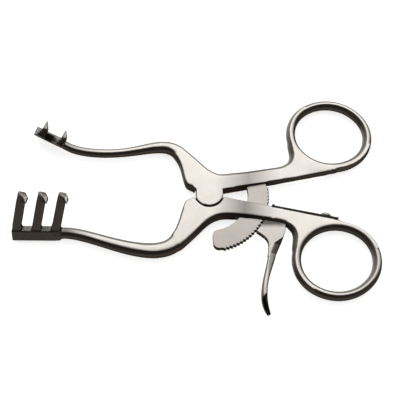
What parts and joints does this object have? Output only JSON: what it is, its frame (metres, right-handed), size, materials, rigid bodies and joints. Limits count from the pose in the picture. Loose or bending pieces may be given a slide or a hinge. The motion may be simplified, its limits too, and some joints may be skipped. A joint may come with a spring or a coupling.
{
  "type": "self retaining retractor",
  "caption": "Self retaining surgical retractor with ring handles, hooked rakes, a toothed ratchet bar and a finger release lever.",
  "frame": {"origin": "on the joint axis, at the instrument's flat back face", "axes": "+X from the joint towards the finger rings, +Y towards the arm with two prongs, +Z out of the front face, the way the prongs rise"},
  "size_m": [0.1363, 0.0881, 0.0194],
  "materials": {
    "satin_steel": "satin, fine grain along the arms",
    "ratchet_steel": "fine satin",
    "spring_steel": "darker, lightly polished"
  },
  "bodies": {
    "lower_arm_body": {"lower_arm": "satin_steel", "pivot_rivet": "satin_steel", "lever_pin": "satin_steel", "leaf_spring": "spring_steel", "spring_screw": "spring_steel"},
    "upper_arm_body": {"upper_arm": "satin_steel", "ratchet_bar": "ratchet_steel", "bar_rivet_inner": "satin_steel", "bar_rivet_outer": "satin_steel"},
    "release_lever_body": {"release_lever": "ratchet_steel"}
  },
  "joints": [
    {"name": "arm_hinge", "type": "hinge", "parent": "lower_arm_body", "child": "upper_arm_body", "pos_m": [0, 0, 0], "axis": [0, 0, 1], "range_deg": [-18, 17]},
    {"name": "release_lever_hinge", "type": "hinge", "parent": "lower_arm_body", "child": "release_lever_body", "pos_m": [0.024, -0.0092, 0], "axis": [0, 0, 1], "range_deg": [0, 8], "stiffness_Nm_per_rad": 0.05, "springref_deg": -5.73, "deforming": ["leaf_spring"]}
  ]
}
